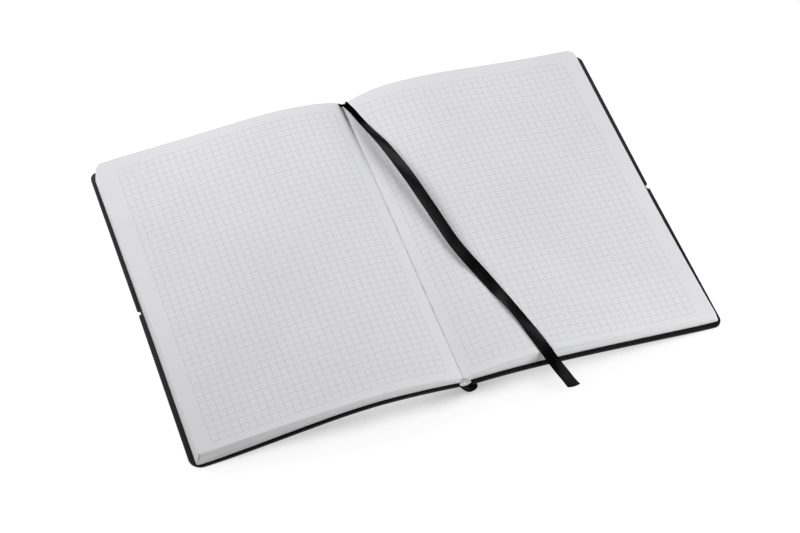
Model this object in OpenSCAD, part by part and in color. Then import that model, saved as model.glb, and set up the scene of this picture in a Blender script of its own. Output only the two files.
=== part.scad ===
// Notebook lying open: squared paper, flexible black cover, ribbon marker.
// The foot of the pages points to -Y and the head to +Y. The front cover and
// the left pages are on -X, the back cover and the right pages on +X.
// The fold of the open pages is the line x = 0 and the table is z = 0.

/* [Pages] */
// Height of a page, head to foot
page_height = 251; // [150:1:300]
// Reach of the left half's lowest leaf, from the fold to the fore edge
left_page_reach = 176; // [120:0.1:177]
// Reach of the right half's lowest leaf, from the fold to the fore edge
right_page_reach = 174.6; // [120:0.1:177]
// How far the top leaf of the left half falls short of the lowest
left_fore_lean = 1.6; // [0:0.1:5]
// How far the top leaf of the right half falls short of the lowest
right_fore_lean = 1.9; // [0:0.1:5]
// Corner radius of the leaves at the head
head_corner = 6; // [2:0.5:14]
// Corner radius of the leaves at the foot
foot_corner = 1; // [0.5:0.5:14]

/* [Open shape] */
// Height of the fold above the table
fold_height = 16.6; // [15:0.1:19]
// Height of the left half's crown
left_crown_height = 23; // [20:0.1:30]
// Distance of the left crown from the fold
left_crown_at = 47; // [35:1:60]
// Height of the left top leaf at the fore edge
left_fore_height = 11.2; // [8:0.1:14]
// Height of the right half's crown
right_crown_height = 22.4; // [20:0.1:30]
// Distance of the right crown from the fold
right_crown_at = 44; // [35:1:60]
// Height of the right top leaf at the fore edge
right_fore_height = 10.5; // [8:0.1:14]
// Slope of the leaves where they leave the fold
fold_slope = 0.31; // [0.1:0.01:0.5]
// Slope of the left leaves at the fore edge
left_fore_slope = 0.11; // [0.02:0.01:0.2]
// Slope of the right leaves at the fore edge
right_fore_slope = 0.07; // [0.02:0.01:0.2]

/* [Cover] */
// Reach of each cover, from the fold to its fore edge
cover_reach = 178.8; // [178:0.1:225]
// How far the cover stands out past the leaves at the foot
foot_lap = 1.8; // [1:0.1:6]
// How far the cover stands out past the leaves at the head
head_lap = 3; // [1:0.1:8]
// Corner radius of the cover
cover_corner = 7; // [3:0.5:14]
// Thickness of the covering skin
skin_thick = 0.5; // [0.3:0.05:1]
// Thickness of the flexible board
board_thick = 1; // [0.6:0.1:2]
// Width of the skin's turn-in over the board
turn_in = 14; // [8:1:25]
// Thickness of the turn-in after pressing
turn_in_thick = 0.25; // [0.15:0.05:0.5]
// Thickness of the endpaper above the turn-in
endpaper_thick = 0.25; // [0.15:0.05:0.5]
// Width of the cover's strip that lies flat on the table
flat_strip = 9; // [5:0.5:20]
// Height of the arch under the left cover
left_arch_height = 14.6; // [12:0.1:17]
// Distance of the left arch's top from the fold
left_arch_at = 53; // [40:1:65]
// Height of the arch under the right cover
right_arch_height = 11.2; // [9:0.1:14]
// Distance of the right arch's top from the fold
right_arch_at = 24; // [18:1:40]
// Handle height that sets how straight the left cover falls to the table
left_fall = 3.4; // [1:0.1:5]
// Handle height that sets how straight the right cover falls to the table
right_fall = 4.5; // [1:0.1:5]
// Length of the closure notch in each fore edge
notch_length = 4.4; // [3:0.1:8]
// Depth of the closure notch
notch_depth = 2; // [1:0.1:2.8]
// Place of the left notch, from mid height towards the head
left_notch_at = 1.2; // [-20:0.1:20]
// Place of the right notch, from mid height towards the head
right_notch_at = -2.1; // [-20:0.1:20]

/* [Spine] */
// Distance of the left hinge edge from the fold
left_hinge_at = 3.2; // [3:0.1:9]
// How far below the fold the left cover's underside meets its hinge
left_hinge_drop = 5.2; // [4:0.1:6]
// Distance of the right hinge edge from the fold
right_hinge_at = 5.4; // [5.3:0.1:14]
// How far below the fold the right cover's underside meets its hinge
right_hinge_drop = 5.8; // [5:0.1:7]
// Foot of the left sections' back, from the fold
left_back_at = 2.6; // [2:0.1:3]
// Foot of the right sections' back, from the fold
right_back_at = 5; // [4:0.1:5.2]
// Thickness of the cloth lining on the sections' backs
lining_thick = 0.5; // [0.3:0.05:1]
// Width of the board-free joint beside each hinge
joint_width = 3; // [2:0.5:6]
// Height of the lowest point of the hollow spine
hollow_height = 2.9; // [1:0.1:5]
// Distance of that lowest point from the fold, towards the back cover
hollow_at = 4.8; // [3:0.1:6]
// How far the spine bulges out past its lowest point
bulge = 4.5; // [4:0.1:6]
// Where the spine meets the right cover, from the fold
spine_lip_at = 8.3; // [7.5:0.1:9]
// Thickness of the stiff strip inside the spine
strip_thick = 0.6; // [0.3:0.05:1.2]
// Diameter of the sewing thread in the fold
thread_dia = 0.8; // [0.5:0.1:1.2]
// Length of thread left bare of the page at head and foot
thread_inset = 9; // [4:1:20]
// Play between parts that turn against each other
play = 0.3; // [0.2:0.05:0.5]

/* [Ribbon] */
// Width of the ribbon marker
ribbon_width = 7.4; // [4:0.1:9]
// Thickness of the ribbon marker
ribbon_thick = 0.5; // [0.3:0.05:1]
// How far the slanted cut end runs ahead at one side and behind at the other
ribbon_cut = 2.3; // [0:0.1:3]

/* [Hidden] */
$fn = 64;
middle = (foot_lap - head_lap) / 2;
foot = middle - page_height / 2;
head = middle + page_height / 2;
cover_foot = foot - foot_lap;
cover_head = head + head_lap;
flat_at = cover_reach - flat_strip;
board_top = skin_thick + board_thick;
turn_in_top = board_top + turn_in_thick;
cover_top = turn_in_top + endpaper_thick;
gap = thread_dia / 2 + play;
left_hinge_height = fold_height - left_hinge_drop;
right_hinge_height = fold_height - right_hinge_drop;

// Points of the ribbon's route by hand: x, y from the pages' mid height, z, the
// tilt of its width and the share of its width that is spread out, which is less
// where it is folded into the spine. They are laid for these two sizes.
route_pages = 251;
route_fold = 16.6;
route = [[3.3, 105.5, 13.3, -42, 0.5], [3.3, 114.5, 13.3, -42, 0.5], [3.2, 120.5, 13.2, -42, 0.5],
         [2.8, 125, 13.4, -41, 0.55], [1.8, 127.5, 15, -38, 0.7], [0.4, 127.5, 17.8, -33, 0.9],
         [-0.2, 125.1, 19.9, -30, 1], [1.4, 118.5, 21.4, -28, 1], [3.3, 109.5, 22.8, -28, 1],
         [5.6, 98.5, 24.7, -28, 1], [7.8, 87.5, 26.4, -23, 1], [10.2, 77.5, 27.8, -16, 1],
         [12.5, 67.5, 28.9, -10, 1], [15.7, 50.5, 30, 1, 1], [18.7, 33.5, 30.6, 14, 1],
         [20.9, 18.5, 30.7, 20, 1], [23.2, 3.5, 30.5, 21, 1], [25.5, -11.5, 29.9, 22, 1],
         [28.1, -26.5, 29.1, 23, 1], [31.8, -40.5, 28.4, 22, 1], [36.5, -55.5, 27.4, 15, 1],
         [41.1, -70.5, 26.5, -1, 1], [46.2, -85.5, 26, -21, 1], [49.7, -99.5, 25.2, -9, 1],
         [52.5, -112.5, 24.6, 14, 1], [55.2, -124.5, 24, 22, 1], [57.4, -132, 22.1, 14, 1],
         [60.5, -137.9, 18.4, -2, 1], [63.8, -142.1, 14.1, -16, 1],
         [66.2, -144.7, 10.6, -20, 1], [68.7, -146.5, 7.7, -12, 1]];

// A cubic curve through two ends, drawn towards two handles
function on_curve(a, b, c, d, t) =
    pow(1 - t, 3) * a + 3 * pow(1 - t, 2) * t * b + 3 * (1 - t) * t * t * c + pow(t, 3) * d;
function curve(a, b, c, d, n) = [for (i = [0 : n]) on_curve(a, b, c, d, i / n)];
function rest(list) = [for (i = [1 : len(list) - 1]) list[i]];
function turned(list) = [for (i = [len(list) - 1 : -1 : 0]) list[i]];
function raised(list, up) = [for (p = list) p + [0, up]];
function unit(v) = v / norm(v);

// Underside of a cover, from the fold's line out to where it lies flat
function underside(hinge, hinge_h, arch, arch_h, rise, fall) = concat(
    [[0, hinge_h - hinge * rise]],
    curve([hinge, hinge_h], [hinge + (arch - hinge) * 0.5, hinge_h + (arch - hinge) * 0.5 * rise],
          [arch - (arch - hinge) * 0.2, arch_h], [arch, arch_h], 6),
    rest(curve([arch, arch_h], [arch + (flat_at - arch) * 0.3, arch_h],
               [flat_at - (flat_at - arch) * 0.35, fall], [flat_at, 0], 14)),
    [[cover_reach + 5, 0]]);
left_rise = 0.12;
right_rise = 0.03;
left_under = underside(left_hinge_at, left_hinge_height, left_arch_at, left_arch_height,
                       left_rise, left_fall);
right_under = underside(right_hinge_at, right_hinge_height, right_arch_at, right_arch_height,
                        right_rise, right_fall);
left_back_foot = [left_back_at,
                  left_hinge_height - (left_hinge_at - left_back_at) * left_rise + cover_top];
right_back_foot = [right_back_at,
                   right_hinge_height - (right_hinge_at - right_back_at) * right_rise + cover_top];

// Top leaf of a half, from the fold out to the fore edge
function top_leaf(crown, crown_h, fore, fore_h, slope, share) = concat(
    curve([gap, fold_height], [crown * 0.33, fold_height + crown * 0.33 * fold_slope],
          [crown * 0.68, crown_h], [crown, crown_h], 9),
    rest(curve([crown, crown_h], [crown + (fore - crown) * 0.28, crown_h],
               [fore - (fore - crown) * share, fore_h + (fore - crown) * share * slope],
               [fore, fore_h], 14)));

// A profile in X and Z drawn out along Y
module drawn(y0, y1) {
    translate([0, y1, 0]) rotate([90, 0, 0]) linear_extrude(height = y1 - y0) children();
}

// An upright prism with rounded corners at the fore edge, one radius at the foot, one at the head
module outline(x0, x1, y0, y1, foot_r, head_r) {
    half = (y1 - y0) / 2;
    translate([0, 0, -1]) linear_extrude(height = 40) {
        translate([x0, y0]) square([x1 - foot_r - x0, half]);
        translate([x0, y0 + half]) square([x1 - head_r - x0, half]);
        translate([x0, y0 + foot_r]) square([x1 - x0, y1 - y0 - foot_r - head_r]);
        translate([x1 - foot_r, y0 + foot_r]) circle(r = foot_r);
        translate([x1 - head_r, y1 - head_r]) circle(r = head_r);
    }
}

// A layer that follows the underside of a cover, between two heights above it
module layer(under, low, high, y0, y1) {
    drawn(y0, y1) polygon(concat(raised(under, low), turned(raised(under, high))));
}

// The same layer cut to the cover's outline, drawn in by an inset
module cover_layer(under, from_x, low, high, inset) {
    intersection() {
        layer(under, low, high, cover_foot + inset, cover_head - inset);
        outline(from_x, cover_reach - inset, cover_foot + inset, cover_head - inset,
                cover_corner - inset, cover_corner - inset);
    }
}

// The closure notch, grown by a margin for what lies behind its wall
module notch(at, margin) {
    r = notch_length / 2 + margin;
    translate([cover_reach - notch_depth - margin + r, at, -1]) {
        cylinder(h = 8, r = r);
        translate([0, -r, 0]) cube([notch_depth + 5, 2 * r, 8]);
    }
}

module board(under, hinge, notch_at) {
    difference() {
        cover_layer(under, hinge + joint_width, skin_thick, board_top, skin_thick);
        notch(notch_at, skin_thick);
    }
}

// Skin wrapped round the board's edges, turned in over it and cut at the hinge
module cover_skin(under, hinge, notch_at) {
    difference() {
        cover_layer(under, hinge, 0, turn_in_top, 0);
        board(under, hinge, notch_at);
        intersection() {
            layer(under, board_top, board_top + 5, cover_foot, cover_head);
            outline(0, cover_reach - turn_in, cover_foot + turn_in, cover_head - turn_in, 2, 2);
        }
        notch(notch_at, 0);
    }
}

// Endpaper, pasted to the board and over the turn-ins
module endpaper(under, back_at, reach) {
    intersection() {
        union() {
            layer(under, turn_in_top, cover_top, foot, head);
            intersection() {
                layer(under, board_top, turn_in_top, foot, head);
                outline(0, cover_reach - turn_in, cover_foot + turn_in, cover_head - turn_in, 2, 2);
            }
        }
        outline(back_at, reach, foot, head, foot_corner, head_corner);
    }
}

// One half of the leaves: arched top, slanted back at the fold, leaning fore edge
module pages(under, back_foot, top, reach) {
    difference() {
        intersection() {
            drawn(foot, head)
                polygon(concat(top, [[reach, 0], [back_foot[0], 0], back_foot]));
            outline(0, reach, foot, head, foot_corner, head_corner);
        }
        layer(under, -20, cover_top, foot - 1, head + 1);
    }
}

// Cloth lining pasted to the slanted back of one half
module lining(back_foot) {
    top = [gap, fold_height];
    along = unit(back_foot - top);
    out = [along[1], -along[0]] * lining_thick;
    start = top + along * 1.4;
    drawn(foot, head) polygon([start, back_foot, back_foot + out, start + out]);
}

// The hollow spine, seen from the foot as a deep loop between the two hinges
left_lip = [-left_hinge_at + play, left_hinge_height];
right_lip = [spine_lip_at, right_hinge_height + (spine_lip_at - right_hinge_at) * right_rise - play];
low_point = [hollow_at, hollow_height];
side = low_point + [bulge, bulge * 0.95];
loop = concat(
    curve(left_lip, left_lip + [1.3, -1.6], low_point - [3.4, 0], low_point, 12),
    rest(curve(low_point, low_point + [bulge * 0.58, 0], side - [0, bulge * 0.5], side, 7)),
    rest(curve(side, side + [0, bulge * 0.3], right_lip + [0.6, -0.8], right_lip, 5)));
function across(i) =
    let (a = loop[max(i - 1, 0)], b = loop[min(i + 1, len(loop) - 1)], d = unit(b - a))
    [-d[1], d[0]];
module loop_layer(from_i, to_i, low, high) {
    polygon(concat([for (i = [from_i : to_i]) loop[i] + across(i) * low],
                   [for (i = [to_i : -1 : from_i]) loop[i] + across(i) * high]));
}

// Ribbon: rings swept along a smooth line through the route's points
function smooth(p, i, t) =
    let (a = p[max(i - 1, 0)], b = p[i], c = p[i + 1], d = p[min(i + 2, len(p) - 1)])
    0.5 * (2 * b + (c - a) * t + (2 * a - 5 * b + 4 * c - d) * t * t
           + (3 * b - a - 3 * c + d) * t * t * t);
way = concat([for (i = [0 : len(route) - 2]) for (t = [0, 0.5]) smooth(route, i, t)],
             [route[len(route) - 1]]);
function spot(i) = [way[i][0],
    way[i][1] + middle + (page_height - route_pages) / 2 * max(-1, min(1, way[i][1] / 105)),
    way[i][2] + fold_height - route_fold];
function ring(i) =
    let (t = unit(spot(min(i + 1, len(way) - 1)) - spot(max(i - 1, 0))),
         w0 = [cos(way[i][3]), 0, sin(way[i][3])],
         w = unit(w0 - (w0 * t) * t), n = cross(t, w),
         a = ribbon_width / 2 * way[i][4], b = ribbon_thick / 2,
         cut = i == len(way) - 1 ? ribbon_cut / a : 0)
    [for (k = [[a, 0], [a - b, b], [0, b], [b - a, b], [-a, 0], [b - a, -b], [0, -b], [a - b, -b]])
        spot(i) + w * k[0] + n * k[1] + t * k[0] * cut];

module front_cover_skin() color("#222225") mirror([1, 0, 0])
    cover_skin(left_under, left_hinge_at, left_notch_at);
module front_board() color("#8c8374") mirror([1, 0, 0])
    board(left_under, left_hinge_at, left_notch_at);
module front_endpaper() color("#e6e4dc") mirror([1, 0, 0])
    endpaper(left_under, left_back_at, left_page_reach);
module left_pages() color("#f0efea") mirror([1, 0, 0])
    pages(left_under, left_back_foot,
          top_leaf(left_crown_at, left_crown_height, left_page_reach - left_fore_lean,
                   left_fore_height, left_fore_slope, 0.36), left_page_reach);
module front_lining() color("#f4f4f4") mirror([1, 0, 0]) lining(left_back_foot);

module back_cover_skin() color("#222225")
    cover_skin(right_under, right_hinge_at, right_notch_at);
module back_board() color("#8c8374") board(right_under, right_hinge_at, right_notch_at);
module back_endpaper() color("#e6e4dc") endpaper(right_under, right_back_at, right_page_reach);
module right_pages() color("#f0efea")
    pages(right_under, right_back_foot,
          top_leaf(right_crown_at, right_crown_height, right_page_reach - right_fore_lean,
                   right_fore_height, right_fore_slope, 0.5), right_page_reach);
module back_lining() color("#f4f4f4") lining(right_back_foot);
module sewing_thread() color("#4a4a4c")
    translate([0, head - thread_inset, fold_height]) rotate([90, 0, 0])
        cylinder(h = page_height - 2 * thread_inset, d = thread_dia);

module spine_skin() color("#222225")
    drawn(cover_foot, cover_head) loop_layer(0, len(loop) - 1, 0, skin_thick);
module spine_strip() color("#55504a")
    drawn(cover_foot + 1, cover_head - 1) loop_layer(4, 19, skin_thick, skin_thick + strip_thick);

module ribbon_marker() color("#303034") {
    last = len(way) - 1;
    polyhedron(
        points = [for (i = [0 : last]) for (p = ring(i)) p],
        faces = concat(
            [[for (k = [0 : 7]) k]],
            [for (i = [0 : last - 1]) for (k = [0 : 7])
                [i * 8 + k, (i + 1) * 8 + k, (i + 1) * 8 + (k + 1) % 8, i * 8 + (k + 1) % 8]],
            [[for (k = [7 : -1 : 0]) last * 8 + k]]));
}

front_cover_skin();
front_board();
front_endpaper();
left_pages();
front_lining();
back_cover_skin();
back_board();
back_endpaper();
right_pages();
back_lining();
sewing_thread();
spine_skin();
spine_strip();
ribbon_marker();
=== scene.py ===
import bisect
import math
import random

import bmesh
import bpy
from mathutils import Matrix, Vector


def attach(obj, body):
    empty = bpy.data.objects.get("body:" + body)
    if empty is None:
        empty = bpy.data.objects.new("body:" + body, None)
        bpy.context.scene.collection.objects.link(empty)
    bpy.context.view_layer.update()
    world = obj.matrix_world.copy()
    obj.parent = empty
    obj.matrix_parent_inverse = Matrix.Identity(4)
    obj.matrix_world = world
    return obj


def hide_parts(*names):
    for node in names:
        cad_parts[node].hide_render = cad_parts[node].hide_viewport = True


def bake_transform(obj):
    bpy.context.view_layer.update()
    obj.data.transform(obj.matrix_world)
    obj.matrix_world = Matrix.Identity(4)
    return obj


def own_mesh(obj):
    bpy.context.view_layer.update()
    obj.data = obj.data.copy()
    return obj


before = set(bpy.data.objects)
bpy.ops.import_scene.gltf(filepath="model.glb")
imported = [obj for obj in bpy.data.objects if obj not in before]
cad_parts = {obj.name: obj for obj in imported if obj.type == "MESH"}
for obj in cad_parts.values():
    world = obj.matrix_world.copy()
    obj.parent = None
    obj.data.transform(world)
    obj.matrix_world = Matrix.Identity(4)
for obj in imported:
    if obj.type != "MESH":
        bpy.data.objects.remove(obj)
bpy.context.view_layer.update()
mm = 0.001

# The open book's sizes, in millimetres. From gridIn on, the halves' values are for this script alone.
book = {"pageHeight": 251, "headCorner": 6, "footCorner": 1, "foldHeight": 16.6,
        "coverReach": 178.8, "footLap": 1.8, "headLap": 3, "flatStrip": 9,
        "coverThick": 2.0, "skinTop": 1.75, "notchLength": 4.4, "notchDepth": 2}
halves = {
    "left": {"side": -1, "body": "left_half", "reach": 176, "crown": (47, 23), "fore": (174.4, 11.2),
             "foreSlope": 0.11, "foreShare": 0.36, "hinge": (3.2, 11.4), "rise": 0.12, "arch": (53, 14.6),
             "fall": 3.4, "back": (2.6, 13.33), "notchAt": 1.2, "gridIn": 8.7, "gridFoot": 7.2,
             "gridSlant": 0.8, "seed": 4, "coverCorners": (8, 5.6), "coverBow": (0.3, 0.5),
             "coverFootSlant": (0, 0)},
    "right": {"side": 1, "body": "right_half", "reach": 174.6, "crown": (44, 22.4), "fore": (172.7, 10.5),
              "foreSlope": 0.07, "foreShare": 0.5, "hinge": (5.4, 10.8), "rise": 0.03, "arch": (24, 11.2),
              "fall": 4.5, "back": (5.0, 12.79), "notchAt": -2.1, "gridIn": 7.9, "gridFoot": 6.6,
              "gridSlant": 1.6, "seed": 9, "coverCorners": (5.5, 6.5), "coverBow": (0.6, 0.7),
              "coverFootSlant": (0.3, -0.3)},
}
middle = (book["footLap"] - book["headLap"]) / 2
foot, head = middle - book["pageHeight"] / 2, middle + book["pageHeight"] / 2
coverFoot, coverHead = foot - book["footLap"], head + book["headLap"]


def bezier(a, b, c, d, count):
    a, b, c, d = Vector(a), Vector(b), Vector(c), Vector(d)
    points = []
    for i in range(count + 1):
        t = i / count
        points.append(a * (1 - t) ** 3 + b * 3 * t * (1 - t) ** 2 + c * 3 * t * t * (1 - t) + d * t ** 3)
    return points


def walker(points):
    # Returns a function of the share walked along a line of points, and the line's length.
    marks = [0.0]
    for a, b in zip(points, points[1:]):
        marks.append(marks[-1] + (b - a).length)

    def at(share):
        walked = share * marks[-1]
        i = min(max(bisect.bisect_right(marks, walked) - 1, 0), len(points) - 2)
        return points[i].lerp(points[i + 1], (walked - marks[i]) / max(marks[i + 1] - marks[i], 1e-9))
    return at, marks[-1]


def part(value, start, end, power=1.0):
    # Share of the way from one value to another, held between 0 and 1.
    return min(max((value - start) / (end - start), 0), 1) ** power


def heightOn(points, x):
    i = min(max(bisect.bisect_right([p.x for p in points], x) - 1, 0), len(points) - 2)
    a, b = points[i], points[i + 1]
    return a.y + (b.y - a.y) * (x - a.x) / max(b.x - a.x, 1e-9)


def coverLine(half):
    # Underside of one cover, from the fold's line to its fore edge, as (x, z) in millimetres.
    (hx, hz), (ax, az) = half["hinge"], half["arch"]
    flat = book["coverReach"] - book["flatStrip"]
    line = [Vector((0, hz - hx * half["rise"]))]
    line += bezier((hx, hz), (hx + (ax - hx) * 0.5, hz + (ax - hx) * 0.5 * half["rise"]),
                   (ax - (ax - hx) * 0.2, az), (ax, az), 24)
    line += bezier((ax, az), (ax + (flat - ax) * 0.3, az),
                   (flat - (flat - ax) * 0.35, half["fall"]), (flat, 0), 60)[1:]
    return line + [Vector((book["coverReach"] + 5, 0))]


def topLeafLine(half):
    (cx, cz), (fx, fz) = half["crown"], half["fore"]
    share, fold = half["foreShare"], book["foldHeight"]
    line = bezier((0.1, fold), (cx * 0.33, fold + cx * 0.33 * 0.31), (cx * 0.68, cz), (cx, cz), 30)
    return line + bezier((cx, cz), (cx + (fx - cx) * 0.28, cz),
                         (fx - (fx - cx) * share, fz + (fx - cx) * share * half["foreSlope"]),
                         (fx, fz), 60)[1:]


def finishMesh(bm, name, sharp=35):
    bmesh.ops.recalc_face_normals(bm, faces=bm.faces)
    mesh = bpy.data.meshes.new(name)
    bm.to_mesh(mesh)
    bm.free()
    mesh.polygons.foreach_set("use_smooth", [True] * len(mesh.polygons))
    mesh.set_sharp_from_angle(angle=math.radians(sharp))
    obj = bpy.data.objects.new(name, mesh)
    bpy.context.scene.collection.objects.link(obj)
    return obj


def cutAcross(bm, axis, places):
    for place in places:
        spot = Vector((0, 0, 0))
        spot[axis] = place
        normal = Vector((0, 0, 0))
        normal[axis] = 1
        bmesh.ops.bisect_plane(bm, geom=bm.verts[:] + bm.edges[:] + bm.faces[:], plane_co=spot,
                               plane_no=normal)


def extrudeFaces(bm, way):
    grown = bmesh.ops.extrude_face_region(bm, geom=bm.faces[:])
    moved = [g for g in grown["geom"] if isinstance(g, bmesh.types.BMVert)]
    bmesh.ops.translate(bm, vec=way, verts=moved)


# The camera: where the photograph was taken from.
shot = {"aim": (-6.7, -22, 10), "azimuth": -19.53, "elevation": 50.835, "roll": 0.88, "distance": 1607.4,
        "lens": 110.07}


def addCamera():
    a, e, r = (math.radians(shot[k]) for k in ("azimuth", "elevation", "roll"))
    back = Vector((math.sin(a) * math.cos(e), -math.cos(a) * math.cos(e), math.sin(e)))
    level = Vector((math.cos(a), math.sin(a), 0))
    right = level * math.cos(r) + back.cross(level) * math.sin(r)
    up = back.cross(right)
    camera = bpy.data.objects.new("camera", bpy.data.cameras.new("camera"))
    camera.data.lens = shot["lens"]
    camera.data.sensor_width = 36
    place = Vector(shot["aim"]) * mm + back * shot["distance"] * mm
    camera.matrix_world = Matrix.Translation(place) @ Matrix((right, up, back)).transposed().to_4x4()
    bpy.context.scene.collection.objects.link(camera)
    bpy.context.scene.camera = camera


addCamera()
print("camera placed")


# Small helpers for node materials.
def newMaterial(name, colour, roughness, specular=0.5):
    material = bpy.data.materials.new(name)
    material.use_nodes = True
    shader = material.node_tree.nodes["Principled BSDF"]
    shader.inputs["Base Color"].default_value = (*colour, 1)
    shader.inputs["Roughness"].default_value = roughness
    shader.inputs["Specular IOR Level"].default_value = specular
    return material, shader


def addNode(material, kind, inputs=None, **settings):
    node = material.node_tree.nodes.new("ShaderNode" + kind)
    for name, value in settings.items():
        setattr(node, name, value)
    for name, value in (inputs or {}).items():
        if isinstance(value, bpy.types.NodeSocket):
            material.node_tree.links.new(value, node.inputs[name])
        else:
            node.inputs[name].default_value = value
    return node


def calc(material, operation, a, b=0.0, c=0.0):
    return addNode(material, "Math", {0: a, 1: b, 2: c}, operation=operation).outputs[0]


def blendColours(material, share, a, b):
    node = addNode(material, "Mix", {0: share}, data_type="RGBA")
    for socket, value in ((node.inputs[6], a), (node.inputs[7], b)):
        if isinstance(value, bpy.types.NodeSocket):
            material.node_tree.links.new(value, socket)
        else:
            socket.default_value = (*value, 1)
    return node.outputs[2]


def ramp(material, value, low, high, toLow=0.0, toHigh=1.0):
    return addNode(material, "MapRange", {0: value, 1: low, 2: high, 3: toLow, 4: toHigh}).outputs[0]


def join(material, output, node, socket):
    material.node_tree.links.new(output, node.inputs[socket])


def addBump(material, shader, height, strength, distance, under=None):
    inputs = {"Strength": strength, "Distance": distance, "Height": height}
    if under is not None:
        inputs["Normal"] = under
    normal = addNode(material, "Bump", inputs).outputs[0]
    join(material, normal, shader, "Normal")
    return normal


# Paper with the squared print: the piece's UV map is in metres, with its zero at the print's corner.
# The "deep" colour is painted shade in the fold between the leaves.
paperLook = {"paper": (0.738, 0.738, 0.753), "shade": (0.716, 0.716, 0.731), "line": (0.545, 0.545, 0.565),
             "deep": (0.2, 0.2, 0.21), "pitch": 0.005, "columns": 31, "rows": 47, "lineWidth": 0.00034,
             "foldShadeWidth": 0.0005}


def squaredPaper():
    material, shader = newMaterial("squaredPaper", paperLook["paper"], 0.75, 0.15)
    place = addNode(material, "UVMap", uv_map="leaf").outputs[0]
    parts = addNode(material, "SeparateXYZ", {0: place})
    across, along = parts.outputs[0], parts.outputs[1]
    pitch, half = paperLook["pitch"], paperLook["lineWidth"] / 2
    wander = addNode(material, "TexNoise", {"Vector": place, "Scale": 90, "Detail": 1.0}).outputs[0]
    strength = ramp(material, wander, 0.35, 0.65, 0.75, 1.0)  # the print is a little uneven
    lines = []
    for value in (across, along):
        away = calc(material, "PINGPONG", value, pitch / 2)
        lines.append(ramp(material, away, half * 0.55, half * 1.45, 1.0, 0.0))
    ink = calc(material, "MAXIMUM", lines[0], lines[1])
    for value, count in ((across, paperLook["columns"]), (along, paperLook["rows"])):
        ink = calc(material, "MULTIPLY", ink, calc(material, "GREATER_THAN", value, -half * 1.5))
        ink = calc(material, "MULTIPLY", ink, calc(material, "LESS_THAN", value, pitch * count + half * 1.5))
    ink = calc(material, "MULTIPLY", ink, strength)
    cloud = addNode(material, "TexNoise", {"Vector": place, "Scale": 14, "Detail": 2.0}).outputs[0]
    paper = blendColours(material, ramp(material, cloud, 0.35, 0.65), paperLook["shade"], paperLook["paper"])
    printed = blendColours(material, ink, paper, paperLook["line"])
    # Painted shade: a dark line down the fold between the leaves, darkest at the head, in blotches along its
    # length.
    spot = addNode(material, "SeparateXYZ", {0: addNode(material, "TexCoord").outputs["Object"]})
    fold = ramp(material, calc(material, "ABSOLUTE", spot.outputs[0]), paperLook["foldShadeWidth"],
                paperLook["foldShadeWidth"] * 2, 1.0, 0.0)
    deep = ramp(material, spot.outputs[1], 0.07, 0.12, 0.0, 0.45)  # painted shade in the fold, darkest where the leaves dip at the head
    down = calc(material, "MULTIPLY", spot.outputs[1], 70.0)
    foldShadeBlots = addNode(material, "TexNoise", {"W": down, "Scale": 1.0}, noise_dimensions="1D").outputs[0]
    foldShadeDots = ramp(material, foldShadeBlots, 0.5, 0.8, 0.05, 0.5)
    fold = calc(material, "MULTIPLY", fold, calc(material, "ADD", deep, foldShadeDots))
    join(material, blendColours(material, fold, printed, paperLook["deep"]), shader, "Base Color")
    fibres = addNode(material, "TexNoise", {"Vector": place, "Scale": 1800, "Detail": 3.0}).outputs[0]
    addBump(material, shader, fibres, 0.25, 0.00004)
    return material


edgeLook = {"light": (0.93, 0.93, 0.94), "dark": (0.80, 0.80, 0.81)}


def leafEdges():
    # The map runs along the leaves in U and up through them in V, both in metres.
    material, shader = newMaterial("leafEdges", edgeLook["light"], 0.85, 0.1)
    place = addNode(material, "UVMap", uv_map="leaf").outputs[0]
    fine = addNode(material, "Mapping", {"Vector": place, "Scale": (9, 5200, 1)}).outputs[0]
    coarse = addNode(material, "Mapping", {"Vector": place, "Scale": (5, 900, 1)}).outputs[0]
    fineLines = addNode(material, "TexNoise", {"Vector": fine, "Scale": 1.0, "Detail": 2.0}).outputs[0]
    coarseLines = addNode(material, "TexNoise", {"Vector": coarse, "Scale": 1.0, "Detail": 2.0}).outputs[0]
    both = calc(material, "ADD", calc(material, "MULTIPLY", fineLines, 0.6),
                calc(material, "MULTIPLY", coarseLines, 0.4))
    tone = ramp(material, both, 0.34, 0.58)
    join(material, blendColours(material, tone, edgeLook["dark"], edgeLook["light"]), shader, "Base Color")
    addBump(material, shader, fineLines, 0.5, 0.00012)
    return material


# The leatherette's black, and a lighter colour for wear in spots and for a painted sheen towards the head.
leatherLook = {"colour": (0.0028, 0.0028, 0.0032), "wornAndSheen": (0.015, 0.015, 0.0158), "grain": 1900}


def blackLeatherette():
    material, shader = newMaterial("blackLeatherette", leatherLook["colour"], 0.5, 0.16)
    place = addNode(material, "TexCoord").outputs["Object"]
    cells = addNode(material, "TexVoronoi", {"Vector": place, "Scale": leatherLook["grain"]},
                    feature="DISTANCE_TO_EDGE").outputs[0]
    soft = addNode(material, "TexNoise", {"Vector": place, "Scale": 520, "Detail": 4.0}).outputs[0]
    broad = addNode(material, "TexNoise", {"Vector": place, "Scale": 24, "Detail": 3.0}).outputs[0]
    along = addNode(material, "SeparateXYZ", {0: place}).outputs[1]
    wearAndSheen = calc(material, "ADD", ramp(material, soft, 0.5, 0.75, 0.0, 0.5),
                  ramp(material, along, -0.09, 0.12, 0.0, 1.4))  # painted sheen, lighter towards the head; the noise before it adds wear
    join(material, blendColours(material, wearAndSheen, leatherLook["colour"], leatherLook["wornAndSheen"]), shader,
         "Base Color")
    join(material, ramp(material, broad, 0.3, 0.7, 0.42, 0.56), shader, "Roughness")
    first = addBump(material, shader, ramp(material, cells, 0.0, 0.35), 0.35, 0.00006)
    addBump(material, shader, soft, 0.3, 0.0001, first)
    return material


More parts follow.
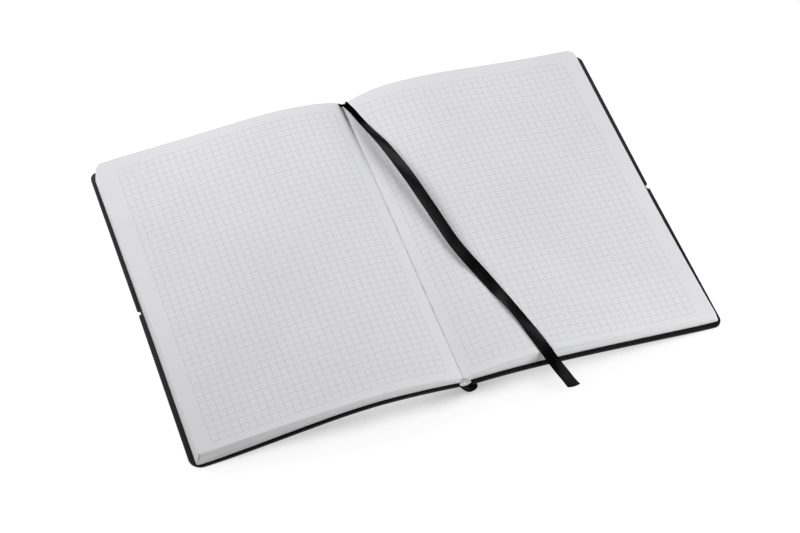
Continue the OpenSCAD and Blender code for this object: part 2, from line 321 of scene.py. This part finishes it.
def plainCard(name, light, dark, scale):
    material, shader = newMaterial(name, light, 0.85, 0.2)
    place = addNode(material, "TexCoord").outputs["Object"]
    speck = addNode(material, "TexNoise", {"Vector": place, "Scale": scale, "Detail": 5.0}).outputs[0]
    tone = ramp(material, speck, 0.35, 0.65)
    join(material, blendColours(material, tone, dark, light), shader, "Base Color")
    addBump(material, shader, speck, 0.3, 0.00008)
    return material


def gauze():
    # Glued mull: an open weave soaked in white glue.
    material, shader = newMaterial("gluedGauze", (0.78, 0.78, 0.77), 0.6, 0.3)
    place = addNode(material, "TexCoord").outputs["Object"]
    parts = addNode(material, "SeparateXYZ", {0: place})
    weave = []
    for out in (parts.outputs[0], parts.outputs[1]):
        weave.append(calc(material, "PINGPONG", out, 0.0005))
    threads = ramp(material, calc(material, "MINIMUM", weave[0], weave[1]), 0.0, 0.00022, 1.0, 0.0)
    glue = addNode(material, "TexNoise", {"Vector": place, "Scale": 420, "Detail": 3.0}).outputs[0]
    tone = ramp(material, glue, 0.4, 0.62)
    join(material, blendColours(material, tone, (0.70, 0.70, 0.69), (0.93, 0.93, 0.92)), shader,
         "Base Color")
    first = addBump(material, shader, threads, 0.4, 0.00015)
    addBump(material, shader, glue, 0.5, 0.0003, first)
    return material


# The satin's black, and the lighter colour of the painted glint on its ribs.
ribbonLook = {"dark": (0.0012, 0.0012, 0.0014), "light": (0.009, 0.009, 0.0096), "rib": 0.0009,
              "warp": 0.0006}


def ribbonSatin():
    # The map runs along the ribbon in U and across it in V, both in metres.
    material, shader = newMaterial("ribbonSatin", ribbonLook["dark"], 0.3, 0.04)
    place = addNode(material, "UVMap", uv_map="weave").outputs[0]
    parts = addNode(material, "SeparateXYZ", {0: place})
    rib = calc(material, "PINGPONG", parts.outputs[0], ribbonLook["rib"] / 2)
    warp = calc(material, "PINGPONG", parts.outputs[1], ribbonLook["warp"] / 2)
    ribHeight = ramp(material, rib, 0.0, ribbonLook["rib"] / 2)
    warpHeight = ramp(material, warp, 0.0, ribbonLook["warp"] / 2)
    height = calc(material, "ADD", calc(material, "MULTIPLY", ribHeight, 0.65),
                  calc(material, "MULTIPLY", warpHeight, 0.35))
    streak = addNode(material, "Mapping", {"Vector": place, "Scale": (60, 1400, 1)}).outputs[0]
    glintStreaks = addNode(material, "TexNoise", {"Vector": streak, "Scale": 1.0, "Detail": 3.0}).outputs[0]
    pastPaintedShade = ramp(material, parts.outputs[0], 0.055, 0.08)  # painted shade: the first stretch from the spine stays dark, with no glint and no specular
    # Painted glint: the raised ribs of the weave are coloured lighter, in streaks, past the painted shade at
    # the start.
    glint = calc(material, "MULTIPLY", ramp(material, glintStreaks, 0.35, 0.7), height)
    shine = calc(material, "MULTIPLY", glint, pastPaintedShade)
    join(material, blendColours(material, shine, ribbonLook["dark"], ribbonLook["light"]), shader,
         "Base Color")
    join(material, ramp(material, pastPaintedShade, 0.0, 1.0, 0.0, 0.05), shader, "Specular IOR Level")
    addBump(material, shader, height, 0.5, 0.00012)
    return material


def shadedGreyThread():
    # Painted shade: the thread is coloured grey rather than white, for the shade it lies in down the fold;
    # the twist is its own pattern.
    material, shader = newMaterial("shadedGreyThread", (0.62, 0.62, 0.61), 0.6, 0.3)
    place = addNode(material, "TexCoord").outputs["Object"]
    turned = addNode(material, "Mapping", {"Vector": place, "Rotation": (0, 0, 0.7)}).outputs[0]
    twist = addNode(material, "TexWave", {"Vector": turned, "Scale": 700, "Distortion": 1.5}).outputs[0]
    join(material, blendColours(material, twist, (0.36, 0.36, 0.36), (0.68, 0.68, 0.67)), shader,
         "Base Color")
    addBump(material, shader, twist, 0.5, 0.0001)
    return material


paper, edges, leather = squaredPaper(), leafEdges(), blackLeatherette()
print("materials ready")

# The ribbon marker: x, y from the pages' mid height, z, tilt of its width, share of its width spread out,
# depth of the crease along its middle.
ribbon = {
    "width": 7.4, "thick": 0.4, "cup": 0.25, "cut": 2.3, "bow": 0.6, "tail": 5, "steps": 8, "across": 8,
    "route": [
        (2.4, 105.5, 11, 0, 0.45, 0), (2.2, 114.5, 9.8, 0, 0.5, 0), (2, 121.5, 9.3, 8, 0.7, 0.6),
        (1.8, 125.2, 9.8, 14, 0.8, 1.8), (1.6, 126.9, 11.2, 5, 0.84, 2.3), (1.7, 126.4, 13, 8, 0.62, 1),
        (2.2, 123.9, 15.4, 34, 0.54, 0.3), (2.65, 119.6, 17.8, 2, 0.6, 0), (4.3, 112.1, 19.5, -26, 0.88, 0),
        (6.3, 100.7, 21.7, -30, 1, 0), (8.2, 89, 24.6, -25, 1, 0), (10.5, 78.2, 26.8, -18, 1, 0),
        (12.8, 68.3, 27.8, -10, 1, 0), (16.2, 51.9, 28.3, 1, 1, 0), (19.2, 34.9, 28.8, 14, 1, 0),
        (21.4, 19.9, 28.8, 20, 1, 0), (23.8, 5.3, 28.2, 21, 1, 0), (26.2, -9.5, 27.3, 22, 1, 0),
        (28.8, -24.6, 26.6, 17, 1, 0), (32.3, -39, 26.3, 22, 1, 0), (37.2, -53.4, 24.7, 22, 1, 0),
        (41.9, -68.4, 23.7, 8, 1, 0), (46.7, -84.2, 23.8, -12, 1, 0), (50.2, -98, 23.3, -9, 1, 0),
        (52.8, -111.7, 23.6, 7, 1, 0), (55, -124.5, 24, 20, 1, 0), (57, -132, 22.1, 16, 1, 0),
        (59.9, -138, 18.4, 4, 1, 0), (63, -142.3, 14.1, -10, 1, 0), (65.2, -144.9, 10.6, -16, 1, 0),
        (67.2, -146.6, 7.7, -10, 1, 0),
    ],
}


def smoothRoute(route, steps):
    points = [Vector(p) for p in route]
    out = []
    for i in range(len(points) - 1):
        a, b, c = points[max(i - 1, 0)], points[i], points[i + 1]
        d = points[min(i + 2, len(points) - 1)]
        for k in range(steps):
            t = k / steps
            out.append(0.5 * (2 * b + (c - a) * t + (2 * a - 5 * b + 4 * c - d) * t ** 2
                              + (3 * b - a - 3 * c + d) * t ** 3))
    return out + [points[-1]]


def makeRibbon():
    way = smoothRoute([(x, y + middle, *rest) for x, y, *rest in ribbon["route"]], ribbon["steps"])
    spots = [Vector(w[:3]) for w in way]
    marks = [0.0]
    for a, b in zip(spots, spots[1:]):
        marks.append(marks[-1] + (b - a).length)
    bm = bmesh.new()
    uv = bm.loops.layers.uv.new("weave")
    count, across = len(way) - 1, ribbon["across"]
    bmesh.ops.create_grid(bm, x_segments=count, y_segments=across, size=0.5)
    for face in bm.faces:
        for loop in face.loops:
            step = round((loop.vert.co.x + 0.5) * count)
            loop[uv].uv = (marks[step] * mm, loop.vert.co.y * ribbon["width"] * mm)
    for v in bm.verts:
        i, side = round((v.co.x + 0.5) * count), v.co.y * 2
        ahead = (spots[min(i + 1, count)] - spots[max(i - 1, 0)]).normalized()
        tilt, share, crease = math.radians(way[i][3]), way[i][4], Vector((0, 0, way[i][5] * side * side))
        wide = Vector((math.cos(tilt), 0, math.sin(tilt)))
        wide = (wide - ahead * wide.dot(ahead)).normalized()
        up = wide.cross(ahead)
        up = up if up.z > 0 or share < 1 else -up
        cup = ribbon["cup"] * (1 - side * side)
        end = part(marks[i], marks[-1] - ribbon["tail"], marks[-1])
        tip = end * (ribbon["bow"] * (1 - side * side) + ribbon["cut"] * side)  # cut aslant and bowed out
        v.co = (spots[i] + wide * side * ribbon["width"] / 2 * share + up * cup + ahead * tip + crease) * mm
    bmesh.ops.recalc_face_normals(bm, faces=bm.faces)
    bmesh.ops.solidify(bm, geom=bm.faces[:], thickness=ribbon["thick"] * mm)
    obj = finishMesh(bm, "ribbonMarker", 60)
    obj.data.materials.append(ribbonSatin())
    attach(obj, "right_half")
    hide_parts("ribbon_marker")
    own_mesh(obj)
    print("ribbon length", round(marks[-1], 1), "mm")


makeRibbon()

# The leaves of each half, one block with the printed leaf on top and the leaf edges round it.
leaves = {"step": 4.0, "stepAlong": 8.0, "bundles": 11, "stagger": 0.04, "topOut": 0.05, "endpaper": 0.24,
          "mapHeight": 9}


def leftShifts(s, y, level):
    # How far a leaf's edges lie from the drawn outline: fore edge, foot, head, and its lift.
    fore = (-0.5 + 1.3 * part(y, -30, 120, 1.2)
            + level * (-0.7 + 2.1 * part(y, -125, 125) - 0.9 * part(y, 105, 122)))
    foot = 0.25 + 0.45 * level - 0.7 * (1 - level) * part(s, 110, 172, 2)
    head = -0.8 + 1.4 * part(s, 0, 165, 0.6) - 0.9 * math.exp(-((s - 100) / 38) ** 2)
    lift = 1.2 * part(s, 90, 170, 1.5) * part(y, 40, 125, 1.5)
    sag = 4.5 * math.exp(-(s / 1.9) ** 2) + 0.5 * math.exp(-(s / 9.0) ** 2)
    return fore, foot, head, (lift - sag * part(y, 20, 125, 3.0)) * level


def rightShifts(s, y, level):
    spread = part(-y, 20, 126, 1.5)
    fore = (1 - level) * (0.4 + 2.6 * spread) + level * 1.95 * spread
    foot = 0.65 - 0.25 * level + (1.2 + 0.4 * level) * part(s, 0, 170, 1.3)
    head = 0.6 - 1.8 * math.exp(-(s / 20) ** 2) + 0.5 * math.exp(-((s - 85) / 40) ** 2)
    lift = 1.3 * part(s, 95, 170, 1.3) * part(y, 40, 125, 1.5)
    sag = 3.6 * math.exp(-(s / 1.5) ** 2) + 1.8 * math.exp(-(s / 16.0) ** 2)
    return fore, foot, head, (lift - sag * part(y, 20, 125, 3.0)) * level


def leftPrint(s, y):
    # How far the print runs off the square on the leaf, across and along it.
    headwards, footwards = part(s, 20, 150) * part(y, 20, 125), part(s, 60, 170) * part(-y, 60, 120, 2)
    return 0, 1.4 * headwards + 1.2 * footwards - 0.5 * (1 - part(s, 10, 60)) * (1 - part(abs(y), 60, 120))


def rightPrint(s, y):
    corner = part(s, 140, 175) * part(-y, 50, 110)
    return 0.6 * part(s, 20, 100) * (1 - corner) - 0.4 * (1 - part(s, 20, 50)) * part(y, 60, 120), (
        0.8 * part(-y, 10, 80) * part(s, 30, 80) * (1 - corner))


def leafOutline(bm, x0, width):
    # The flat outline of one leaf, with its rounded fore corners.
    flat = [bm.verts.new((x, y, 0)) for x, y in ((x0, foot), (width, foot), (width, head), (x0, head))]
    bm.faces.new(flat)
    for picked, size, steps in ((flat[1], book["footCorner"], 3), (flat[2], book["headCorner"], 8)):
        bmesh.ops.bevel(bm, geom=[picked], offset=size, offset_type="OFFSET", segments=steps, profile=0.5,
                        affect="VERTICES", material=-1)
    extrudeFaces(bm, (0, 0, 1))


def shifted(s, y, width, shifts, level):
    fore, footwards, headwards, lift = shifts(s, y, level)
    s += fore * part(s, 0, width, 4)
    return s, y + footwards * part(-y, -head, -foot, 8) + headwards * part(y, foot, head, 8), lift


def makeEndpaper(name, half, node, shifts):
    under = coverLine(half)
    bm = bmesh.new()
    leafOutline(bm, half["back"][0], half["reach"])
    cutAcross(bm, 0, [half["back"][0] + 1 + 4 * i for i in range(int((half["reach"] - 8) / 4))])
    cutAcross(bm, 1, [foot + 3 + 16 * i for i in range(16)])
    for v in bm.verts:
        x, y, _ = shifted(v.co.x, v.co.y, half["reach"], shifts, 0)
        z = heightOn(under, x) + book["skinTop"] + leaves["endpaper"] * v.co.z
        v.co = Vector((x * half["side"], y, z)) * mm
    obj = finishMesh(bm, name, 40)
    obj.data.materials.append(plainCard(name, (0.76, 0.76, 0.755), (0.70, 0.70, 0.70), 400))
    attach(obj, half["body"])
    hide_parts(node)


def makeLeaves(name, half, node, shifts, printShift):
    under = [Vector((p.x, p.y + book["coverThick"])) for p in coverLine(half)]
    back = Vector(half["back"])
    bottomLine = [back] + [p for p in under if back.x + 0.5 < p.x < half["reach"]]
    bottomLine.append(Vector((half["reach"], heightOn(under, half["reach"]))))
    topAt, width = walker(topLeafLine(half))
    bottomAt, _ = walker(bottomLine)
    rng = random.Random(half["seed"])
    bm = bmesh.new()
    uv = bm.loops.layers.uv.new("leaf")
    leafOutline(bm, 0, width)
    stations = [0.6, 1.3, 2.2, 3.2] + [leaves["step"] * i for i in range(1, int(width / leaves["step"]) + 1)]
    cutAcross(bm, 0, [s for s in stations if s < width - 0.5])
    cutAcross(bm, 1, [foot + 3 + leaves["stepAlong"] * i for i in range(31)])
    shares = sorted(rng.uniform(0.04, 0.96) for _ in range(leaves["bundles"] - 1))
    offsets = [rng.uniform(-1, 1) * leaves["stagger"] for _ in range(leaves["bundles"])]
    offsets[-1] = leaves["topOut"]  # the top leaves stand out a hair
    cutAcross(bm, 2, [s + d for s in shares for d in (-0.006, 0.006)])
    outer = {v for e in bm.edges if abs(e.verts[0].co.z - e.verts[1].co.z) > 1e-6 for v in e.verts}

    def place(v):
        level = v.co.z
        s, y, lift = shifted(v.co.x, v.co.y, width, shifts, level)
        p = bottomAt(s / width).lerp(topAt(s / width), level)
        if v in outer and s > 2:
            out = offsets[bisect.bisect_right(shares, level)]
            p.x += out * part(s, width - 8, width)
            y += out * (part(y, head - 8, head) - part(-y, -foot - 8, -foot))
        return Vector((p.x * half["side"], y, p.y + lift)) * mm

    for face in bm.faces:
        level = max(v.co.z for v in face.verts) - min(v.co.z for v in face.verts)
        face.material_index = 0 if level < 1e-6 and face.verts[0].co.z > 0.5 else 1
        for loop in face.loops:
            t = loop.vert.co.z
            s, y, _ = shifted(loop.vert.co.x, loop.vert.co.y, width, shifts, t)
            if face.material_index == 0:
                printIn = half["gridIn"] - half["gridSlant"] * (y - middle) / book["pageHeight"]
                across, along = printShift(s, y)
                loop[uv].uv = ((s - printIn + across) * mm, (y - foot - half["gridFoot"] + along) * mm)
            else:
                loop[uv].uv = ((s + y) * mm, t * leaves["mapHeight"] * mm)
    spots = [place(v) for v in bm.verts]
    for v, spot in zip(bm.verts, spots):
        v.co = spot
    obj = finishMesh(bm, name, 40)
    obj.data.materials.append(paper)
    obj.data.materials.append(edges)
    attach(obj, half["body"])
    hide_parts(node)
    print(name, "width along the leaf", round(width, 1), "mm,", len(obj.data.polygons), "faces")


makeLeaves("leftLeaves", halves["left"], "left_pages", leftShifts, leftPrint)
makeLeaves("rightLeaves", halves["right"], "right_pages", rightShifts, rightPrint)
makeEndpaper("frontEndleaf", halves["left"], "front_endpaper", leftShifts)
makeEndpaper("backEndleaf", halves["right"], "back_endpaper", rightShifts)

# The covers' leatherette skins and the boards inside them, with a rounded rim and a notch in the fore edge.
cover = {"rim": 0.55, "boardRim": 0.1, "notchRound": 2.1, "notchLip": 0.5, "step": 4.0, "headDraw": 1.8,
         "boardIn": 0.5, "boardLow": 0.5, "boardHigh": 1.5, "joint": 3.0}


def makeCover(name, half, node, isBoard):
    under = coverLine(half)
    inset = cover["boardIn"] if isBoard else 0
    bottom, top = (cover["boardLow"], cover["boardHigh"]) if isBoard else (0, book["skinTop"])
    near, far = half["hinge"][0] + (cover["joint"] if isBoard else 0), book["coverReach"] - inset
    low = half["notchAt"] - book["notchLength"] / 2 - inset
    high = half["notchAt"] + book["notchLength"] / 2 + inset
    deep = far - book["notchDepth"]
    bm = bmesh.new()
    rim = [(near, coverFoot + inset), (far, coverFoot + inset), (far, low), (deep, low), (deep, high),
           (far, high), (far, coverHead - inset), (near, coverHead - inset)]
    flat = [bm.verts.new((x, y, 0)) for x, y in rim]
    bm.faces.new(flat)
    for picked, size, steps in (([1], half["coverCorners"][0], 10), ([6], half["coverCorners"][1], 10),
                                ([3, 4], cover["notchRound"], 6), ([2, 5], cover["notchLip"], 3)):
        bmesh.ops.bevel(bm, geom=[flat[i] for i in picked], offset=size, offset_type="OFFSET", segments=steps,
                        profile=0.5, affect="VERTICES", material=-1)
    extrudeFaces(bm, (0, 0, top - bottom))
    outer = [e for e in bm.edges if abs(e.verts[0].co.z - e.verts[1].co.z) < 1e-6
             and min(v.co.x for v in e.verts) > near - 1e-6
             and not all(v.co.x < near + 1e-3 for v in e.verts)]
    bmesh.ops.bevel(bm, geom=outer, offset=cover["boardRim" if isBoard else "rim"], offset_type="OFFSET",
                    segments=3, profile=0.5, affect="EDGES", material=-1, clamp_overlap=True)
    steps = int((far - 10 - near) / cover["step"])
    cutAcross(bm, 0, [near + cover["step"] * (i + 1) for i in range(steps)])
    for v in bm.verts:
        x, y, z = v.co
        bow = half["coverBow"][0] * part(-y, 40, 126, 1.5) + half["coverBow"][1] * part(y, 30, 126, 1.5)
        slant = half["coverFootSlant"]
        wide = x + bow * part(x, 40, far, 2)
        # At the head the cover is drawn in a little beside the spine.
        y -= cover["headDraw"] * (1 - part(x, half["hinge"][0], 40)) * part(y, 60, coverHead)
        y -= (slant[0] + (slant[1] - slant[0]) * part(x, near, far)) * part(-y, 0, -coverFoot)
        v.co = Vector((wide * half["side"], y, z + bottom + heightOn(under, x))) * mm
    obj = finishMesh(bm, name, 50)
    obj.data.materials.append(board if isBoard else leather)
    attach(obj, half["body"])
    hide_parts(node)
    print(name, len(obj.data.polygons), "faces")


board = plainCard("greyBoard", (0.30, 0.27, 0.22), (0.22, 0.20, 0.17), 700)
makeCover("frontCover", halves["left"], "front_cover_skin", False)
makeCover("backCover", halves["right"], "back_cover_skin", False)
makeCover("frontBoard", halves["left"], "front_board", True)
makeCover("backBoard", halves["right"], "back_board", True)

# The hollow spine between the covers: skin outside, stiff strip inside.
spine = {"low": (4.8, 2.9), "bulge": 4.5, "lip": (8.3, 10.6), "skin": 0.5, "strip": 0.6, "slack": 0.02,
         "skinHead": 1.6, "stripHead": 2.6, "rim": 0.18, "sections": 6}


def spineLine():
    (hx, hz), low, lip = halves["left"]["hinge"], Vector(spine["low"]), Vector(spine["lip"])
    start = Vector((-hx + 0.1, hz + 0.05))
    side = low + Vector((spine["bulge"], spine["bulge"] * 0.95))
    line = bezier(start, start + Vector((1.2, -1.6)), low - Vector((3.4, 0)), low, 14)
    line += bezier(low, low + Vector((spine["bulge"] * 0.58, 0)),
                   side - Vector((0, spine["bulge"] * 0.5)), side, 9)[1:]
    line += bezier(side, side + Vector((0, spine["bulge"] * 0.3)), lip + Vector((0.6, -0.8)), lip, 6)[1:]
    return line


def drawnStrip(name, line, y0, y1, thick, material, rimRound=0.0):
    # A line in X and Z drawn out along Y and given a thickness to its left.
    sections = spine["sections"]
    bm = bmesh.new()
    chain = [bm.verts.new((p.x * mm, y0 * mm, p.y * mm)) for p in line]
    joined = [bm.edges.new(pair) for pair in zip(chain, chain[1:])]
    grown = bmesh.ops.extrude_edge_only(bm, edges=joined)
    moved = [g for g in grown["geom"] if isinstance(g, bmesh.types.BMVert)]
    bmesh.ops.translate(bm, vec=(0, (y1 - y0) * mm, 0), verts=moved)
    cutAcross(bm, 1, [(y0 + (y1 - y0) * (i + 1) / sections) * mm for i in range(sections - 1)])
    bmesh.ops.recalc_face_normals(bm, faces=bm.faces)
    middleFace = min(bm.faces, key=lambda f: f.calc_center_median().z)
    if middleFace.normal.z > 0:
        bmesh.ops.reverse_faces(bm, faces=bm.faces[:])
    bmesh.ops.solidify(bm, geom=bm.faces[:], thickness=thick * mm)
    if rimRound:
        rim = [e for e in bm.edges if e.is_manifold and e.calc_face_angle(0) > 1.0
               and min(abs(e.verts[0].co.y - y * mm) for y in (y0, y1)) < 1e-6
               and abs(e.verts[0].co.y - e.verts[1].co.y) < 1e-7]
        bmesh.ops.bevel(bm, geom=rim, offset=rimRound * mm, offset_type="OFFSET", segments=2, profile=0.5,
                        affect="EDGES", material=-1)
    obj = finishMesh(bm, name, 50)
    obj.data.materials.append(material)
    return obj


def makeSpine():
    line = spineLine()
    skin = drawnStrip("spineSkin", line, coverFoot, coverHead - spine["skinHead"], spine["skin"], leather,
                      spine["rim"])
    inner = []
    for a, b in zip(line, line[1:]):
        inward = Vector((-(b - a).y, (b - a).x)).normalized()
        inner.append(a + (inward * (spine["skin"] + spine["slack"])))
    card = plainCard("spineCard", (0.02, 0.02, 0.02), (0.012, 0.012, 0.012), 900)
    strip = drawnStrip("spineStrip", inner[4:23], coverFoot + 1, coverHead - spine["stripHead"],
                       spine["strip"], card)
    for obj, node, slot in ((skin, "spine_skin", "cover_skin"), (strip, "spine_strip", "strip")):
        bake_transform(obj)
        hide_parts(node)


makeSpine()

# White lining on the sections' backs: it shows at the foot and head as the inside of the hollow.
lining = {"top": 13.2, "bottom": 10.0, "end": 0.6, "stand": 0.9, "sag": 2.5}


def makeLining():
    material = gauze()
    for name, half, node in (("frontLining", halves["left"], "front_lining"),
                             ("backLining", halves["right"], "back_lining")):
        side, (bx, bz) = half["side"], half["back"]
        top, low, y0 = lining["top"], lining["bottom"], foot - lining["stand"]
        line = bezier((0.03, top), (bx * 0.4, top), (bx * 0.7, bz - 0.1), (bx, bz - 0.2), 6)
        line += bezier((bx, bz - 0.2 - lining["end"]), (bx * 0.8, low + 0.5), (bx * 0.4, low), (0.03, low), 6)
        bm = bmesh.new()
        bm.faces.new([bm.verts.new((p.x * side * mm, y0 * mm, p.y * mm)) for p in line])
        extrudeFaces(bm, (0, (head - y0 + lining["stand"] - 1) * mm, 0))
        cutAcross(bm, 1, [(y0 + 12 * (i + 1)) * mm for i in range(20)])
        for v in bm.verts:
            sag = part(v.co.y / mm, 10, 120, 2) * part(v.co.z / mm, low - 0.5, top)
            sag *= 1 - part(abs(v.co.x) / mm, 0, bx)
            v.co.z -= lining["sag"] * mm * sag
        obj = finishMesh(bm, name, 50)
        obj.data.materials.append(material)
        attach(obj, half["body"])
        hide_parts(node)


makeLining()

# The sewing: runs of thread in the fold between the holes.
sewing = {"holes": (-112, -91, -61, -41, -16, 28, 57, 72, 97, 112), "thread": 0.32, "lift": 0.05,
          "dive": 0.5, "diveReach": 2.5, "sag": 4.9}


def makeStitches():
    bm = bmesh.new()
    holes = sewing["holes"]
    for a, b in zip(holes[::2], holes[1::2]):
        radius, long = sewing["thread"] / 2 * mm, (b - a) * mm
        made = bmesh.ops.create_cone(bm, cap_ends=True, segments=8, radius1=radius, radius2=radius,
                                     depth=long)
        verts = made["verts"]
        bmesh.ops.rotate(bm, cent=(0, 0, 0), matrix=Matrix.Rotation(math.pi / 2, 3, "X"), verts=verts)
        spot = (0, ((a + b) / 2 + middle) * mm, (book["foldHeight"] + sewing["lift"]) * mm)
        bmesh.ops.translate(bm, vec=spot, verts=verts)
    cutAcross(bm, 1, [(y + middle) * mm for y in range(-110, 112, 4)])
    for v in bm.verts:
        y = v.co.y / mm - middle
        near = min(abs(y - h) for h in holes)
        v.co.z -= sewing["dive"] * mm * max(1 - near / sewing["diveReach"], 0) ** 2  # dives into its hole
        v.co.z -= sewing["sag"] * part(y, 20, 125, 3.0) * mm
    obj = finishMesh(bm, "stitches", 60)
    obj.data.materials.append(shadedGreyThread())
    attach(obj, "right_half")
    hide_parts("sewing_thread")


makeStitches()
print("spine, lining and sewing made")

# Table, background and light.
studio = {"tableDiffuse": 0.14, "tableGlow": 0.92, "shadeReach": 0.026, "world": 0.0}


def addTable():
    bm = bmesh.new()
    bmesh.ops.create_grid(bm, x_segments=1, y_segments=1, size=4)
    bmesh.ops.translate(bm, vec=(0, 0, -0.0001), verts=bm.verts[:])
    table = finishMesh(bm, "table")
    material, _ = newMaterial("tableWhite", (0.8, 0.8, 0.8), 0.9, 0.0)
    tree = material.node_tree
    rays = addNode(material, "LightPath")
    seen = calc(material, "MAXIMUM", rays.outputs["Is Camera Ray"],
                calc(material, "MAXIMUM", rays.outputs["Is Glossy Ray"], rays.outputs["Is Transmission Ray"]))
    shown = studio["tableDiffuse"]
    plain = addNode(material, "BsdfDiffuse", {"Color": (shown, shown, shown, 1)})
    # Painted shadow: the table's glow for the camera is dimmed where occlusion is high, deepest under the
    # arched middle and only before the foot.
    occlusion = addNode(material, "AmbientOcclusion", {"Distance": studio["shadeReach"]}, samples=4)
    nearby = occlusion.outputs["AO"]
    spot = addNode(material, "SeparateXYZ", {0: addNode(material, "TexCoord").outputs["Object"]})
    across, along = spot.outputs[0], spot.outputs[1]
    ends = calc(material, "MAXIMUM", ramp(material, across, -0.02, 0.07),
                ramp(material, across, -0.07, -0.13))
    depth = calc(material, "MULTIPLY_ADD", ends, -0.55, 1.0)  # deepest under the arched middle
    dark = calc(material, "SUBTRACT", 1.0, ramp(material, nearby, 0.14, 0.64, 0.0, 1.0))
    shade = calc(material, "SUBTRACT", 1.0, calc(material, "MULTIPLY", dark, depth))
    beforeFoot = ramp(material, along, -0.128, -0.112)  # the shade lies before the foot only
    shade = calc(material, "MAXIMUM", shade, beforeFoot)
    glow = addNode(material, "Emission", {"Color": (1, 1, 1, 1),
                                          "Strength": calc(material, "MULTIPLY", shade, studio["tableGlow"])})
    both = addNode(material, "AddShader", {0: plain.outputs[0], 1: glow.outputs[0]})
    bounce = addNode(material, "BsdfDiffuse", {"Color": (0.8, 0.8, 0.8, 1)})
    pick = addNode(material, "MixShader", {0: seen, 1: bounce.outputs[0], 2: both.outputs[0]})
    tree.links.new(pick.outputs[0], tree.nodes["Material Output"].inputs["Surface"])
    table.data.materials.append(material)


def addWorld():
    world = bpy.data.worlds.new("studio")
    bpy.context.scene.world = world
    world.use_nodes = True
    tree = world.node_tree
    back = tree.nodes["Background"]
    rays = tree.nodes.new("ShaderNodeLightPath")
    most = tree.nodes.new("ShaderNodeMath")
    most.operation = "MAXIMUM"
    tree.links.new(rays.outputs["Is Camera Ray"], most.inputs[0])
    tree.links.new(rays.outputs["Is Transmission Ray"], most.inputs[1])
    power = tree.nodes.new("ShaderNodeMapRange")
    power.inputs["To Min"].default_value = studio["world"]
    power.inputs["To Max"].default_value = 1.0
    tree.links.new(most.outputs[0], power.inputs["Value"])
    tree.links.new(power.outputs[0], back.inputs["Strength"])
    back.inputs["Color"].default_value = (1, 1, 1, 1)


lamps = {
    "leftBack": {"place": (-0.75, 0.75, 0.75), "size": 0.7, "watts": 12.2},
    "rightBack": {"place": (0.3, 1.0, 0.9), "size": 0.7, "watts": 10.0},
    "front": {"place": (0.35, -0.5, 0.3), "size": 0.5, "watts": 2.45},
    "right": {"place": (0.5, -0.1, 0.42), "size": 0.3, "watts": 0.25},
}


def addLamps():
    for name, look in lamps.items():
        data = bpy.data.lights.new(name, "AREA")
        data.shape = "DISK"
        data.size = look["size"]
        data.energy = look["watts"]
        lamp = bpy.data.objects.new(name, data)
        lamp.location = look["place"]
        lamp.rotation_euler = (-Vector(look["place"])).to_track_quat("-Z", "Y").to_euler()
        bpy.context.scene.collection.objects.link(lamp)


addTable()
addWorld()
addLamps()
bpy.context.scene.view_settings.view_transform = "Standard"
print("table, world and lamps set")
